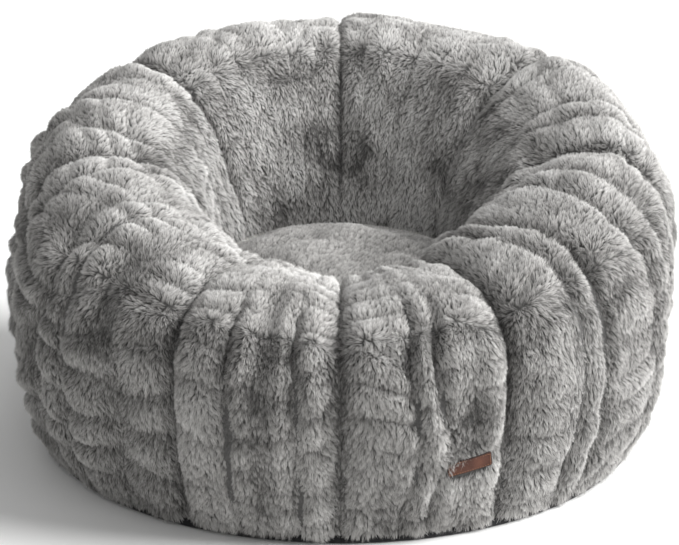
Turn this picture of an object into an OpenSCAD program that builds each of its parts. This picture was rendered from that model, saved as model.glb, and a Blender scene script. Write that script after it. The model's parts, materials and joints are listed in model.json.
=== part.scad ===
// Round bean bag chair: a padded ring that is high at the back and low at the front, around a
// round seat cushion. A zipped fur cover of eight panels holds a zipped inner liner of loose fill.
// The front of the chair faces -Y, its left and right are -X and +X, and it stands on z = 0.
// Azimuths are degrees from the front, positive towards +X.

/* [Body] */
// Widest radius of the ring
ring_r = 471; // [440:1:570]
// Height of that widest girth above the floor
girth_z = 225; // [190:1:240]
// Radius of the flat base
base_r = 414; // [345:1:425]
// Height of the rim at the front
front_h = 298; // [280:1:360]
// Height of the rim at the back
back_h = 531; // [440:1:640]
// Radius of the rim's highest line at the front
front_crest_r = 340; // [300:1:350]
// Radius of the rim's highest line at the back
back_crest_r = 378; // [350:1:385]
// How late the rim climbs from front to back (1 is even)
rim_climb = 0.73; // [0.5:0.01:1.5]

/* [Seat] */
// Radius of the seat
seat_r = 174; // [140:1:210]
// Height of the seat's edge
seat_z = 240; // [200:1:255]
// How far the middle of the seat stands above its edge
seat_crown = 20; // [8:1:30]

/* [Cover] */
// Azimuth of the seam between the front panel and the arm panel
arm_seam = 27; // [20:1:40]
// Azimuth of the seam between the arm panel and the shoulder panel
shoulder_seam = 80; // [65:1:95]
// Azimuth of the seam between the shoulder panel and the back panel
back_seam = 125; // [110:1:140]
// Thickness of the fur fabric with its pile
fur_t = 14; // [10:0.5:18]
// How deep the fur dips in at each seam
seam_dip = 8; // [2:0.5:9]
// How far from a seam the dip reaches, in degrees
dip_reach = 6; // [4:0.5:8]
// Thickness of the base fabric
base_t = 2; // [1.2:0.1:3]
// Height of the base fabric's turned-up edge
base_edge_h = 12; // [10:1:20]
// Thickness of the inner wall between the ring and the seat
wall_t = 2; // [1:0.1:3]

/* [Label] */
// Length of the leather label
label_w = 60; // [40:1:80]
// Height of the leather label
label_h = 20; // [14:1:28]
// Thickness of the leather
label_t = 1.8; // [1.2:0.1:2.5]
// Azimuth of the label's middle
label_az = 20; // [14:0.5:22]
// Height of the label's middle
label_z = 112; // [80:1:150]
// Tilt of the label, right end up
label_tilt = 9; // [0:1:20]
// Spacing of its stitches
stitch_pitch = 3.5; // [2.5:0.1:6]
// Width of the blank care label inside the cover
care_w = 30; // [20:1:45]
// Length of the care label
care_h = 50; // [30:1:60]

/* [Liner and fill] */
// Thickness of the liner fabric
liner_t = 1.6; // [1:0.1:3]
// Room between the cover and the liner
liner_room = 12; // [11:0.5:16]
// Height of the liner base's turned-up edge
liner_edge_h = 78; // [60:1:90]

/* [Zips] */
// Length of the arc that each zip runs over, in degrees
zip_arc = 104; // [70:1:106]
// Width of one zip tape
tape_w = 13; // [10:0.5:15]
// Thickness of a zip tape
tape_t = 0.8; // [0.5:0.1:1]
// Thickness of the coil on one tape
coil_d = 1.8; // [1.4:0.1:2.2]
// Length of a slider
slider_l = 13; // [10:0.5:16]
// Height of a slider
slider_h = 10; // [9.5:0.5:12]
// Length of the pull tab
pull_l = 32; // [20:1:40]

/* [Hidden] */

fur_colour = "darkgray";
liner_colour = "whitesmoke";
zip_colour = "dimgray";

clear = 0.6;              // room between pieces that lie against each other
seam_gap = 0.1;           // half of the gap at a seam, in degrees
fur_steps = 8;            // steps along each quarter of a fur panel's section
liner_steps = 5;          // and of the plainer liner and fill
az_step = 6;              // widest step round the ring, in degrees
liner_az_step = 9;        // and round the liner and fill
smooth = 180;             // facets of the round pieces, finer than the eye needs
zip_gap = slider_h + 6;   // height of the slot that a zip runs in
coil_gap = 0.8;           // half of the gap between the coils, where the slider's post runs
play = 0.4;               // room between the slider and the coils
plate_t = 1.3;            // thickness of the slider's plates
post_t = 0.8;             // thickness of the slider's post
stop_w = 3;               // length of a zip's end stop
stop_t = 1.2;             // thickness of an end stop
zip_tail = 8;             // tape beyond the coils at each end of a zip
stop_room = 2;            // room left between a slider and an end stop
tape_room = 1.4;          // room between the cover's zip tape and the base's edge outside it
pin_d = 1.6;              // diameter of the pull tab's pin
pin_play = 0.05;          // room round the pin in the tab's eye
eye_wall = 1.2;           // wall of the eye
pull_t = 1.2;             // thickness of the pull tab
pull_w = 6;               // width of the pull tab
lug_t = 1.2;              // thickness of the slider's two lugs
lug_l = 4;                // length of the lugs
fill_gap = 1.2;           // room between the fill and the liner round it
corner_r = 6;             // rounding under the base's edge

liner_in = fur_t + liner_room;          // the liner's depth below the surface
fill_extra = liner_t + fill_gap;        // how much deeper the fill lies than the liner
base_top = base_t + clear;              // where everything inside the cover stands
well_r = seat_r + wall_t + clear;       // inside of the liner's inner wall
band_r = lower_r(0, base_edge_h) - 2;   // outside of the base's turned-up edge
cover_zip_z = base_edge_h + clear + zip_gap / 2;
back_foot_z = cover_zip_z + zip_gap / 2;        // where the back panels end, above the slot for the zip
// The cover's zip tape stands clear of the base's edge below it and of the fur above it
cover_tape_r = min(band_r - base_t - tape_room, lower_r(fur_t, back_foot_z) - clear) - tape_t / 2;
liner_zip_z = liner_edge_h + zip_gap / 2;
liner_lean = lean_at(liner_in, liner_zip_z);
liner_tape_r = lower_r(liner_in, liner_zip_z) + clear + tape_t / 2;
zip_start = 180 - zip_arc / 2;
zip_end_room = zip_tail + stop_w + stop_room + slider_l / 2;    // from the tape's end to the slider's middle

// ---- shape of the ring -------------------------------------------------------------------------

function blend_of(az) = pow((1 - cos(az)) / 2, rim_climb);
function rim_h(az) = front_h + (back_h - front_h) * blend_of(az);
function crest_r(az) = front_crest_r + (back_crest_r - front_crest_r) * blend_of(az);

// The section's three quarter ellipses at one azimuth, each at a depth d below the surface:
// u runs 0 to 1 from the base to the girth, to 2 at the rim's crest and to 3 at the seat's edge.
function lower_pt(u, d) =
  [base_r + (ring_r - base_r - d) * sin(90 * u), girth_z - (girth_z - d) * cos(90 * u)];
function upper_pt(az, u, d) =
  [crest_r(az) + (ring_r - crest_r(az) - d) * cos(90 * u), girth_z + (rim_h(az) - girth_z - d) * sin(90 * u)];
function inner_pt(az, u, d) =
  [crest_r(az) - (crest_r(az) - seat_r - d) * sin(90 * u), seat_z + (rim_h(az) - seat_z - d) * cos(90 * u)];
function ring_pt(az, u, d) =
  u <= 1 ? lower_pt(u, d) : u <= 2 ? upper_pt(az, u - 1, d) : inner_pt(az, u - 2, d);

// Below the girth the ring is round, so its radius at a depth and a height is the same all round.
// The section at a depth d starts at the height d, so a lower height gives its start.
function lower_u(d, z) = acos(min(1, (girth_z - z) / (girth_z - d))) / 90;
function lower_r(d, z) = lower_pt(lower_u(d, z), d)[0];
// How far the lower wall leans outwards there, in degrees
function lean_at(d, z) = atan2(lower_r(d, z + 1) - lower_r(d, z - 1), 2);

function in_space(az, p) = [p[0] * sin(az), -p[0] * cos(az), p[1]];

// Steps of a section from a height on the lower wall to the seat's edge
function steps_from(d, z, steps) =
  let (u0 = lower_u(d, z))
  concat([for (i = [0:steps]) u0 + (1 - u0) * i / steps], [for (i = [1:2 * steps]) 1 + i / steps]);

// Depth of the fur's surface beside a seam: deepest at the seam and gone at dip_reach
function fur_dip(az, a0, a1) =
  seam_dip * pow(max(0, 1 - min(az - a0, a1 - az) / dip_reach), 2);

// Azimuths across a fur panel, closer together beside its seams
seam_side = [seam_gap, dip_reach * 0.3, dip_reach * 0.65, dip_reach];
function fur_azimuths(a0, a1) =
  let (lo = a0 + dip_reach, hi = a1 - dip_reach, n = max(2, ceil((hi - lo) / az_step)))
  concat([for (s = seam_side) a0 + s],
         [for (i = [1:n - 1]) lo + (hi - lo) * i / n],
         [for (i = [3:-1:0]) a1 - seam_side[i]]);

// Azimuths across a liner panel, evenly spaced
function liner_azimuths(a0, a1) =
  let (lo = a0 + seam_gap, hi = a1 - seam_gap, n = ceil((hi - lo) / liner_az_step))
  [for (i = [0:n]) lo + (hi - lo) * i / n];

// ---- building solids from rows of points --------------------------------------------------------

// Both triangles of each cell between two rows of n points
function cells(a, b, n) =
  [for (j = [0:n - 2]) each [[a + j, b + j, b + j + 1], [a + j, b + j + 1, a + j + 1]]];

// A closed solid between an outer and an inner sheet of points, both given as rows of equal length
module thick_sheet(outer, inner) {
  rows = len(outer);
  n = len(outer[0]);
  all = rows * n;
  flip = function(faces) [for (f = faces) [f[2], f[1], f[0]]];
  skin = [for (i = [0:rows - 2]) each cells(i * n, (i + 1) * n, n)];
  back = [for (i = [0:rows - 2]) each cells(all + i * n, all + (i + 1) * n, n)];
  first = [for (j = [0:n - 2]) each [[j, j + 1, all + j + 1], [j, all + j + 1, all + j]]];
  last = [for (f = first) [for (k = f) k + (rows - 1) * n]];
  low = [for (i = [0:rows - 2]) each
    [[i * n, all + i * n, all + (i + 1) * n], [i * n, all + (i + 1) * n, (i + 1) * n]]];
  high = [for (f = low) [for (k = f) k + n - 1]];
  polyhedron(
    concat([for (r = outer) each r], [for (r = inner) each r]),
    concat(skin, flip(back), first, flip(last), low, flip(high)));
}

// Rows of points at a depth that depends on the azimuth and on the place along the section
function sheet(azimuths, steps, depth) =
  [for (az = azimuths) [for (u = steps) in_space(az, ring_pt(az, u, depth(az, u)))]];

// A wall or plate of revolution, from its section in radius and height
module turned(section) {
  rotate_extrude($fn = smooth) polygon(section);
}

// The same, over an arc of azimuths
module turned_arc(a0, a1) {
  rotate([0, 0, a0 - 90]) rotate_extrude(angle = a1 - a0, $fn = smooth) children();
}

// ---- fur cover ----------------------------------------------------------------------------------

// A fur panel between two azimuths, from a height on the lower wall over the rim to the seat
module fur_panel(a0, a1, foot_z) {
  azimuths = fur_azimuths(a0, a1);
  color(fur_colour) thick_sheet(
    sheet(azimuths, steps_from(0, foot_z, fur_steps), function(az, u) fur_dip(az, a0, a1)),
    sheet(azimuths, steps_from(fur_t, foot_z, fur_steps), function(az, u) fur_t));
}

module fur_front_left() fur_panel(-arm_seam, 0, base_edge_h + clear);
module fur_front_right() fur_panel(0, arm_seam, base_edge_h + clear);
module fur_arm_left() fur_panel(-shoulder_seam, -arm_seam, base_edge_h + clear);
module fur_arm_right() fur_panel(arm_seam, shoulder_seam, base_edge_h + clear);
module fur_shoulder_left() fur_panel(-back_seam, -shoulder_seam, base_edge_h + clear);
module fur_shoulder_right() fur_panel(shoulder_seam, back_seam, base_edge_h + clear);
module fur_back_left() fur_panel(-180, -back_seam, back_foot_z);
module fur_back_right() fur_panel(back_seam, 180, back_foot_z);

// A domed disc, crown above its edge in the middle, as a section in radius and height
function dome(r, z, crown, n = 16) =
  [for (i = [0:n]) [r * i / n, z + crown * pow(cos(90 * i / n), 1.5)]];
function reversed(list) = [for (i = [len(list) - 1:-1:0]) list[i]];
function dome_plate(r, z, crown, t) = concat(dome(r, z - t, crown), reversed(dome(r, z, crown)));

module fur_seat() {
  color(fur_colour) turned(dome_plate(seat_r - clear, seat_z, seat_crown, fur_t));
}

module base_panel() {
  bend = function(r) [for (a = [0:15:90]) [band_r - corner_r + r * sin(a), corner_r - r * cos(a)]];
  color("black") turned(concat(
    [[0, 0]], bend(corner_r), [[band_r, base_edge_h], [band_r - base_t, base_edge_h]],
    reversed(bend(corner_r - base_t)), [[0, base_t]]));
}

module cover_inner_wall() {
  color("dimgray") turned([
    [seat_r, base_top], [seat_r + wall_t, base_top],
    [seat_r + wall_t, seat_z - clear], [seat_r, seat_z - clear]]);
}

// ---- labels -------------------------------------------------------------------------------------

// Lays its children flat on the lower wall at an azimuth, a height and a depth, facing outwards
module on_wall(az, z, d, tilt = 0) {
  rotate([0, 0, az]) translate([0, -lower_r(d, z), z])
    rotate([90 + lean_at(d, z), 0, 0]) rotate([0, 0, tilt]) children();
}
module at_label(lift) on_wall(label_az, label_z, 0, label_tilt) translate([0, 0, lift]) children();

module label_patch() {
  corner = 2;
  color("saddlebrown") at_label(clear) linear_extrude(label_t)
    offset(corner, $fn = 32) square([label_w - 2 * corner, label_h - 2 * corner], center = true);
}

// Short stitches in a row all round the label, near its edge
module label_stitches() {
  inset = 2.5;
  length = 2.2;
  thread = 0.7;
  half_w = label_w / 2 - inset;
  half_h = label_h / 2 - inset;
  along = floor((2 * half_w - length) / stitch_pitch);
  up = floor((2 * half_h - length) / stitch_pitch);
  color("peru") at_label(clear + label_t + 0.05) {
    for (side = [-1, 1]) {
      for (i = [0:along]) translate([(i - along / 2) * stitch_pitch, side * half_h, thread / 2])
        cube([length, thread, thread], center = true);
      for (i = [1:up - 1]) translate([side * half_w, (i - up / 2) * stitch_pitch, thread / 2])
        cube([thread, length, thread], center = true);
    }
  }
}

// A blank satin label that hangs inside the cover beside the zip
module care_label() {
  satin_t = 0.5;
  color("white") on_wall(zip_start - 10, back_foot_z + care_h / 2, (fur_t + liner_in) / 2)
    cube([care_w, care_h, satin_t], center = true);
}

// ---- zips ---------------------------------------------------------------------------------------

// Angle that a length takes up round the zip
function turn(length, r) = length / r * 180 / PI;

// Sweeps a zip's section round an arc. The section is drawn with x outwards and y up the wall,
// from the middle of the tape, and it leans with the wall.
module zip_sweep(a0, a1, r, z, lean) {
  turned_arc(a0, a1) translate([r, z]) rotate(-lean) children();
}

module tape(r, z, lean, side) {
  zip_sweep(zip_start, zip_start + zip_arc, r, z, lean)
    translate([-tape_t / 2, side > 0 ? coil_gap : -tape_w]) square([tape_t, tape_w - coil_gap]);
}

coil_x = tape_t / 2 + 0.05 + coil_d / 2;        // the coils' middle, just outside the tape
plate_x = coil_x + coil_d / 2 + play;           // inner face of the slider's outer plate

module coils(r, z, lean) {
  tail = turn(zip_tail, r);
  for (side = [-1, 1]) zip_sweep(zip_start + tail, zip_start + zip_arc - tail, r, z, lean)
    translate([coil_x, side * (coil_gap + coil_d / 2)]) circle(d = coil_d, $fn = 24);
}

// A clamp across the coils at each end of the zip
module stops(r, z, lean) {
  half = coil_gap + coil_d + play;
  tail = turn(zip_tail, r);
  span = turn(stop_w, r);
  for (a = [zip_start + tail, zip_start + zip_arc - tail - span]) zip_sweep(a, a + span, r, z, lean)
    translate([coil_x + coil_d / 2 + 0.05, -half]) square([stop_t, 2 * half]);
}

// The slider where it stands when the zip is closed: two plates joined by a post between the coils
module slider_body(r, z, lean) {
  inner_x = -tape_t / 2 - play - plate_t;
  span = turn(slider_l, r);
  a0 = zip_start + turn(zip_end_room, r) - span / 2;
  zip_sweep(a0, a0 + span, r, z, lean) {
    translate([plate_x, -slider_h / 2]) square([plate_t, slider_h]);
    translate([inner_x, -slider_h / 2]) square([plate_t, slider_h]);
  }
  zip_sweep(a0 + span * 0.6, a0 + span * 0.9, r, z, lean)
    translate([inner_x, -post_t / 2]) square([plate_x - inner_x + plate_t / 2, post_t]);
}

// Puts its children at the cover slider's pin, with +Y outwards from the chair, and +X along the
// zip's run towards its closed end
module at_pin() {
  rotate([0, 0, zip_start + turn(zip_end_room, cover_tape_r) + 180])
    translate([0, cover_tape_r + pin_x, cover_zip_z]) children();
}

module cover_zip_tape_upper() color(zip_colour) tape(cover_tape_r, cover_zip_z, 0, 1);
module cover_zip_tape_lower() color(zip_colour) tape(cover_tape_r, cover_zip_z, 0, -1);
module cover_zip_coils() color("gray") coils(cover_tape_r, cover_zip_z, 0);
module cover_zip_stops() color("silver") stops(cover_tape_r, cover_zip_z, 0);
module liner_zip_tape_upper() color(liner_colour) tape(liner_tape_r, liner_zip_z, liner_lean, 1);
module liner_zip_tape_lower() color(liner_colour) tape(liner_tape_r, liner_zip_z, liner_lean, -1);
module liner_zip_coils() color("white") coils(liner_tape_r, liner_zip_z, liner_lean);
module liner_zip_stops() color("silver") stops(liner_tape_r, liner_zip_z, liner_lean);
// The liner's slider has no tab, so that a child can't open it.
module liner_zip_slider() color("silver") slider_body(liner_tape_r, liner_zip_z, liner_lean);

eye_r = pin_d / 2 + eye_wall;                   // outside of the tab's eye
pin_x = plate_x + plate_t + play + eye_r;       // the pin's distance from the tape

module cover_zip_slider() {
  lug_reach = play + eye_r + pin_d / 2 + 0.6;   // from the plate out past the pin
  lug_z = pull_w / 2 + play;                    // the lugs stand this far above and below the pin's middle
  color("silver") {
    slider_body(cover_tape_r, cover_zip_z, 0);
    at_pin() {
      for (z = [-lug_z - lug_t, lug_z]) translate([-lug_l / 2, -(play + eye_r + plate_t / 2), z])
        cube([lug_l, lug_reach + plate_t / 2, lug_t]);
      cylinder(d = pin_d, h = pull_w + 2 * play + 2 * lug_t, center = true, $fn = 32);
    }
  }
}

// A flat tab with an eye round the pin, lying along the zip
module cover_zip_pull() {
  color("silver") at_pin() difference() {
    union() {
      cylinder(r = eye_r, h = pull_w, center = true, $fn = 48);
      translate([0, -pull_t / 2, -pull_w / 2]) cube([pull_l, pull_t, pull_w]);
    }
    cylinder(r = pin_d / 2 + pin_play, h = pull_w + 2, center = true, $fn = 48);
  }
}

// ---- liner and fill -----------------------------------------------------------------------------

// A liner panel between two azimuths, from a height on the lower wall over the rim to the seat
module liner_panel(a0, a1, foot_z) {
  azimuths = liner_azimuths(a0, a1);
  color(liner_colour) thick_sheet(
    sheet(azimuths, steps_from(liner_in, foot_z, liner_steps), function(az, u) liner_in),
    sheet(azimuths, steps_from(liner_in + liner_t, foot_z, liner_steps), function(az, u) liner_in + liner_t));
}

liner_seam = zip_start - 2;                     // where the liner's back panel starts
module liner_front() liner_panel(-45, 45, liner_edge_h + clear);
module liner_right() liner_panel(45, liner_seam, liner_edge_h + clear);
module liner_left() liner_panel(-liner_seam, -45, liner_edge_h + clear);
module liner_back() liner_panel(liner_seam, 360 - liner_seam, liner_edge_h + zip_gap);

// The liner's floor with an outer edge that follows the ring up to the zip
module liner_base() {
  edge = function(d) let (u0 = lower_u(d, d), u1 = lower_u(d, liner_edge_h))
    [for (i = [0:8]) lower_pt(u0 + (u1 - u0) * i / 8, d)];
  color(liner_colour) turned(concat(
    [[well_r, base_top], [base_r - liner_in, base_top]], edge(liner_in), reversed(edge(liner_in + liner_t)),
    [[base_r - liner_in - liner_t / 2, base_top + liner_t], [well_r, base_top + liner_t]]));
}

// The liner's wall round the seat, turned outwards at its top to meet the panels
module liner_inner_wall() {
  foot = base_top + liner_t + clear;
  top = seat_z - clear;
  color(liner_colour) turned([
    [well_r, foot], [well_r + liner_t, foot], [well_r + liner_t, top - liner_t],
    [seat_r + liner_in + liner_t, top - liner_t], [seat_r + liner_in + liner_t, top], [well_r, top]]);
}

// The loose fill of the ring, as one body
module ring_fill() {
  depth = liner_in + fill_extra;
  floor_z = depth + 1;
  in_r = well_r + fill_extra;
  in_top = seat_z - clear - fill_extra;
  end_r = seat_r + depth;
  steps = steps_from(depth, floor_z, liner_steps);
  rows = 360 / liner_az_step;
  points = [for (i = [0:rows - 1]) let (az = i * liner_az_step) concat(
    [for (u = steps) in_space(az, ring_pt(az, u, depth))],
    [for (p = [[end_r, in_top], [in_r, in_top], [in_r, floor_z]]) in_space(az, p)])];
  n = len(points[0]);
  color("lightblue") polyhedron([for (r = points) each r],
    [for (i = [0:rows - 1]) for (j = [0:n - 1])
      let (a = i * n, b = ((i + 1) % rows) * n, k = (j + 1) % n)
      each [[a + j, b + j, b + k], [a + j, b + k, a + k]]]);
}

// ---- seat cushion -------------------------------------------------------------------------------

seat_in_r = seat_r - 2;                      // outside of the seat cushion's liner
seat_top_z = seat_z - fur_t - clear;         // its edge's height, under the fur

module seat_liner_top() {
  color(liner_colour) turned(dome_plate(seat_in_r, seat_top_z, seat_crown, liner_t));
}

module seat_liner_band() {
  color(liner_colour) turned([
    [seat_in_r - liner_t, base_top + liner_t + clear], [seat_in_r, base_top + liner_t + clear],
    [seat_in_r, seat_top_z - liner_t - clear], [seat_in_r - liner_t, seat_top_z - liner_t - clear]]);
}

module seat_liner_base() {
  color(liner_colour) translate([0, 0, base_top]) cylinder(r = seat_in_r, h = liner_t, $fn = smooth);
}

module seat_fill() {
  r = seat_in_r - liner_t - fill_gap;
  top = seat_top_z - liner_t - clear - fill_gap;
  color("lightblue") turned(concat([[0, base_top + liner_t + fill_gap], [r, base_top + liner_t + fill_gap]],
    reversed(dome(r, top, seat_crown))));
}

fur_front_left();
fur_front_right();
fur_arm_left();
fur_arm_right();
fur_shoulder_left();
fur_shoulder_right();
fur_back_left();
fur_back_right();
fur_seat();
base_panel();
cover_inner_wall();
label_patch();
label_stitches();
care_label();
cover_zip_tape_upper();
cover_zip_tape_lower();
cover_zip_coils();
cover_zip_stops();
cover_zip_slider();
cover_zip_pull();
liner_front();
liner_left();
liner_right();
liner_back();
liner_base();
liner_inner_wall();
ring_fill();
liner_zip_tape_upper();
liner_zip_tape_lower();
liner_zip_coils();
liner_zip_stops();
liner_zip_slider();
seat_liner_top();
seat_liner_band();
seat_liner_base();
seat_fill();
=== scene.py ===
"""Looks of a round bean bag chair: a padded ring and a round seat in a cover of ribbed faux rabbit fur.

The cover's skin is worked out on a grid of azimuth and distance along the ring's section, puffed by a
short cloth simulation, cut into its sewn panels, and grown over with a pile of separate strands.
"""
import json
import math

import bpy
import numpy as np
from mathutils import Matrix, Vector, noise


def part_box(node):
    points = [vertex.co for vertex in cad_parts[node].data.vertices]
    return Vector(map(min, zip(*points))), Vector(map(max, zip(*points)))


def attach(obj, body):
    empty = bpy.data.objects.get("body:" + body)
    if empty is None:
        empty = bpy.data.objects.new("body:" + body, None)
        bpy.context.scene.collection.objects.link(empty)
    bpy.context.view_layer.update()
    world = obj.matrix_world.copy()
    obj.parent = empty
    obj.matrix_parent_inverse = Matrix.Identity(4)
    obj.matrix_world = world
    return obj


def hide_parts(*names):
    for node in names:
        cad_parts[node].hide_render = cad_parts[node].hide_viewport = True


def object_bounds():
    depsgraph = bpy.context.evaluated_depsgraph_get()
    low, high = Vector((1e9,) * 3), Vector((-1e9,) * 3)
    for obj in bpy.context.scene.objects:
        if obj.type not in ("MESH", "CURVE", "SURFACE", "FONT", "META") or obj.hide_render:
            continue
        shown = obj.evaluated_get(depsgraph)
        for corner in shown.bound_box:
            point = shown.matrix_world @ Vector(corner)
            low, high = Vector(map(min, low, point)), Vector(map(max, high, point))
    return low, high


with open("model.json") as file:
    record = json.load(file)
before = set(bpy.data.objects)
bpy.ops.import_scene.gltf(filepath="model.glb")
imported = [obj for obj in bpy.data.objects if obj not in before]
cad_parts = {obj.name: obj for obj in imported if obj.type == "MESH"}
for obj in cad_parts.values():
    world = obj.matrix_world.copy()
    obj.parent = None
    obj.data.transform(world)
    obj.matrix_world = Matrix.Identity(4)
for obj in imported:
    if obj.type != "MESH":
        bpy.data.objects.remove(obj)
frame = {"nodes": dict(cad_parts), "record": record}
cad_low, cad_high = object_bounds()
rng = np.random.default_rng(7)

# ---- sizes, in metres, from the frame where it holds them -----------------------------------------

RING_R = cad_high.x
BASE_R = 0.414
GIRTH_Z = 0.225
FRONT_H = 0.298
BACK_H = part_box("fur_back_left")[1].z
FRONT_CREST_R = 0.340
BACK_CREST_R = 0.378
RIM_CLIMB = 0.73
SEAM_ROOM = 0.0006
SEAT_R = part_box("fur_seat")[1].x + SEAM_ROOM
SEAT_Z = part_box("cover_inner_wall")[1].z + SEAM_ROOM
SEAT_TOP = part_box("fur_seat")[1].z
FOOT_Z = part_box("fur_arm_left")[0].z
BACK_FOOT_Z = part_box("fur_back_left")[0].z

PILE = 0.0082            # length of a strand
TUFT = 0.0050            # width of a tuft, whose strands lean together
PILE_STANDS = 0.0025     # how far the skin lies under the CAD panels' surface, to leave room for the pile
BACKING = 0.006          # thickness of the padded skin
BACKING_SUNK = 0.0012    # how far its face lies under the strands' roots
THIN = 0.0015            # and where it is pulled in at a seam
LINER_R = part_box("liner_inner_wall")[1].x      # where the liner's panels end at the seat
SKIN_ROOM = LINER_R - SEAT_R - 0.0016 - 0.0015    # from the CAD surface down to the liner
FLOOR_ROOM = 0.0008      # the pile's lowest point over the floor
COLUMN = 0.9             # degrees between columns of the skin
ROWS = 150               # rows along the section, from the foot to the seat
SECTION_STEPS = 240      # steps on each of the section's three arcs
BUBBLE = 0.050           # distance between the creases along a rib
WAVE_TURN = math.pi / 10    # a Wave texture's scale times its period
RIB_DEEP = 0.0125        # how far the ribs stand over the creases between them
BUBBLE_DEEP = 0.0080     # and the bubbles over the creases across a rib
SLUMP = 0.009            # height of the broad waves
LUMPS, LUMPS_INSIDE = 0.005, 0.004    # height of the small lumps, and what the inside adds
LIPS = 0.006             # height of the puckers beside a seam
BULGE = 0.012            # how far the right side is pushed out
LABEL_SUNK = 0.004       # how deep the label's bed is pressed

SEAMS = {"front": (0, 27), "arm": (27, 80), "shoulder": (80, 125), "back": (125, 180)}
RIBS = {"front": 3, "arm": 5, "shoulder": 4, "back": 6}
STRANDS = {"front": 150000, "arm": 192000, "shoulder": 188000, "back": 192000, "seat": 130000}
RIB_FADES = {"front": 0.4, "arm": 0.35, "shoulder": 0.6, "back": 0.9}    # share lost inside the ring
STOUT = {"front": 1.2, "arm": 1.05, "shoulder": 1.05, "back": 1.05}            # share of RIB_DEEP
TOP_FADES = {"front": 0.85, "arm": 0.5, "shoulder": 0.5, "back": 0.5}          # share lost on the rim
CREST_POWER = {"front": 1.0, "arm": 0.9, "shoulder": 0.9, "back": 0.9}         # sharpness of a rib's crest
BUBBLY_FRONT, BUBBLY_RIGHT, BUBBLY_LEFT = 0.75, 0.9, 1.4                       # share of BUBBLE_DEEP
SEAM_DEEP = {"front": 0.010, "arm": 0.014, "shoulder": 0.014, "back": 0.014}   # depth of a seam's groove
PILLOW = {"front": 0.003, "arm": 0.006, "shoulder": 0.006, "back": 0.006}      # roll of a panel at its seams

LABEL_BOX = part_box("label_patch")
LABEL_MID = (LABEL_BOX[0] + LABEL_BOX[1]) / 2
LABEL_AZ = math.degrees(math.atan2(LABEL_MID.x, -LABEL_MID.y))
LABEL_TILT = math.radians(9)
LABEL_LEAN = math.atan2((RING_R - BASE_R) * (GIRTH_Z - LABEL_MID.z) / GIRTH_Z ** 2,
                        math.sqrt(1 - (1 - LABEL_MID.z / GIRTH_Z) ** 2))
LABEL_W, LABEL_H, LABEL_T = 0.060, 0.020, 0.0018
LABEL_REACH = 0.08       # how far from the label's middle its effect on the fur may reach
STITCH_IN = 0.0024       # how far the stitching runs inside the label's edge
STITCH_PITCH = 0.0034
ZIP_COIL = 0.0018        # thickness of a zip's coil
ZIP_PITCH = 0.0017       # distance between the coil's turns


# ---- small helpers --------------------------------------------------------------------------------

def smooth(x, lo, hi):
    """0 below lo, 1 above hi and a soft step between."""
    t = np.clip((x - lo) / (hi - lo), 0, 1)
    return t * t * (3 - 2 * t)


def soft_noise(points, size, seed=0.0):
    """Perlin noise from -1 to 1, with lumps about as wide as size."""
    return np.array([noise.noise(Vector((p[0] / size + seed, p[1] / size - seed, p[2] / size + 2 * seed)))
                     for p in points])


def unit(v):
    return v / np.maximum(np.linalg.norm(v, axis=-1, keepdims=True), 1e-12)


def make_mesh(name, points, faces):
    mesh = bpy.data.meshes.new(name)
    mesh.from_pydata([tuple(p) for p in points], [], [tuple(int(i) for i in f) for f in faces])
    mesh.update()
    mesh.shade_smooth()
    return mesh


def add_piece(name, mesh):
    obj = bpy.data.objects.new(name, mesh)
    bpy.context.collection.objects.link(obj)
    return obj


# ---- materials ------------------------------------------------------------------------------------

def linear(hex_code):
    """An sRGB hex colour as linear RGBA."""
    parts = [int(hex_code[i:i + 2], 16) / 255 for i in (0, 2, 4)]
    return tuple(c / 12.92 if c <= 0.04045 else ((c + 0.055) / 1.055) ** 2.4 for c in parts) + (1.0,)


def feed(tree, node, inputs):
    """Fills a node's inputs with values or links."""
    for key, value in inputs.items():
        if isinstance(value, bpy.types.NodeSocket):
            tree.links.new(value, node.inputs[key])
        else:
            node.inputs[key].default_value = value


def add(tree, kind, inputs=None, **settings):
    """Adds one node, sets its properties and fills its inputs."""
    node = tree.nodes.new(kind)
    for key, value in settings.items():
        setattr(node, key, value)
    feed(tree, node, inputs or {})
    return node


def ramp(tree, fac, stops):
    """A colour ramp through (position, hex) stops."""
    node = add(tree, "ShaderNodeValToRGB", {"Fac": fac})
    elements = node.color_ramp.elements
    while len(elements) < len(stops):
        elements.new(0.5)
    for element, (place, code) in zip(elements, stops):
        element.position = place
        element.color = linear(code)
    return node.outputs["Color"]


def math_node(tree, operation, a, b=0.0, clamp=False):
    """One sum on two numbers, each a link or a value."""
    return add(tree, "ShaderNodeMath", {0: a, 1: b}, operation=operation, use_clamp=clamp).outputs[0]


def between(tree, value, low, high):
    """A 0 to 1 value spread from low to high."""
    return add(tree, "ShaderNodeMapRange", {"Value": value, "To Min": low, "To Max": high}).outputs["Result"]


def mixed_colour(tree, factor, a, b, blend="MIX"):
    """Colour a mixed with colour b, each of them a link or a linear colour."""
    node = add(tree, "ShaderNodeMix", {"Factor": factor}, data_type="RGBA", blend_type=blend)
    first, second = (i for i, socket in enumerate(node.inputs) if socket.type == "RGBA")
    feed(tree, node, {first: a, second: b})
    return [socket for socket in node.outputs if socket.type == "RGBA"][0]


def even_noise(tree, place, scale, detail):
    return add(tree, "ShaderNodeTexNoise", {"Vector": place, "Scale": scale, "Detail": detail}).outputs["Fac"]


def stretched_noise(tree, place, scale, detail):
    """Noise whose grains are as long as each part of scale says."""
    drawn = add(tree, "ShaderNodeMapping", {"Vector": place, "Scale": scale}).outputs["Vector"]
    return add(tree, "ShaderNodeTexNoise", {"Vector": drawn, "Detail": detail}).outputs["Fac"]


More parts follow.
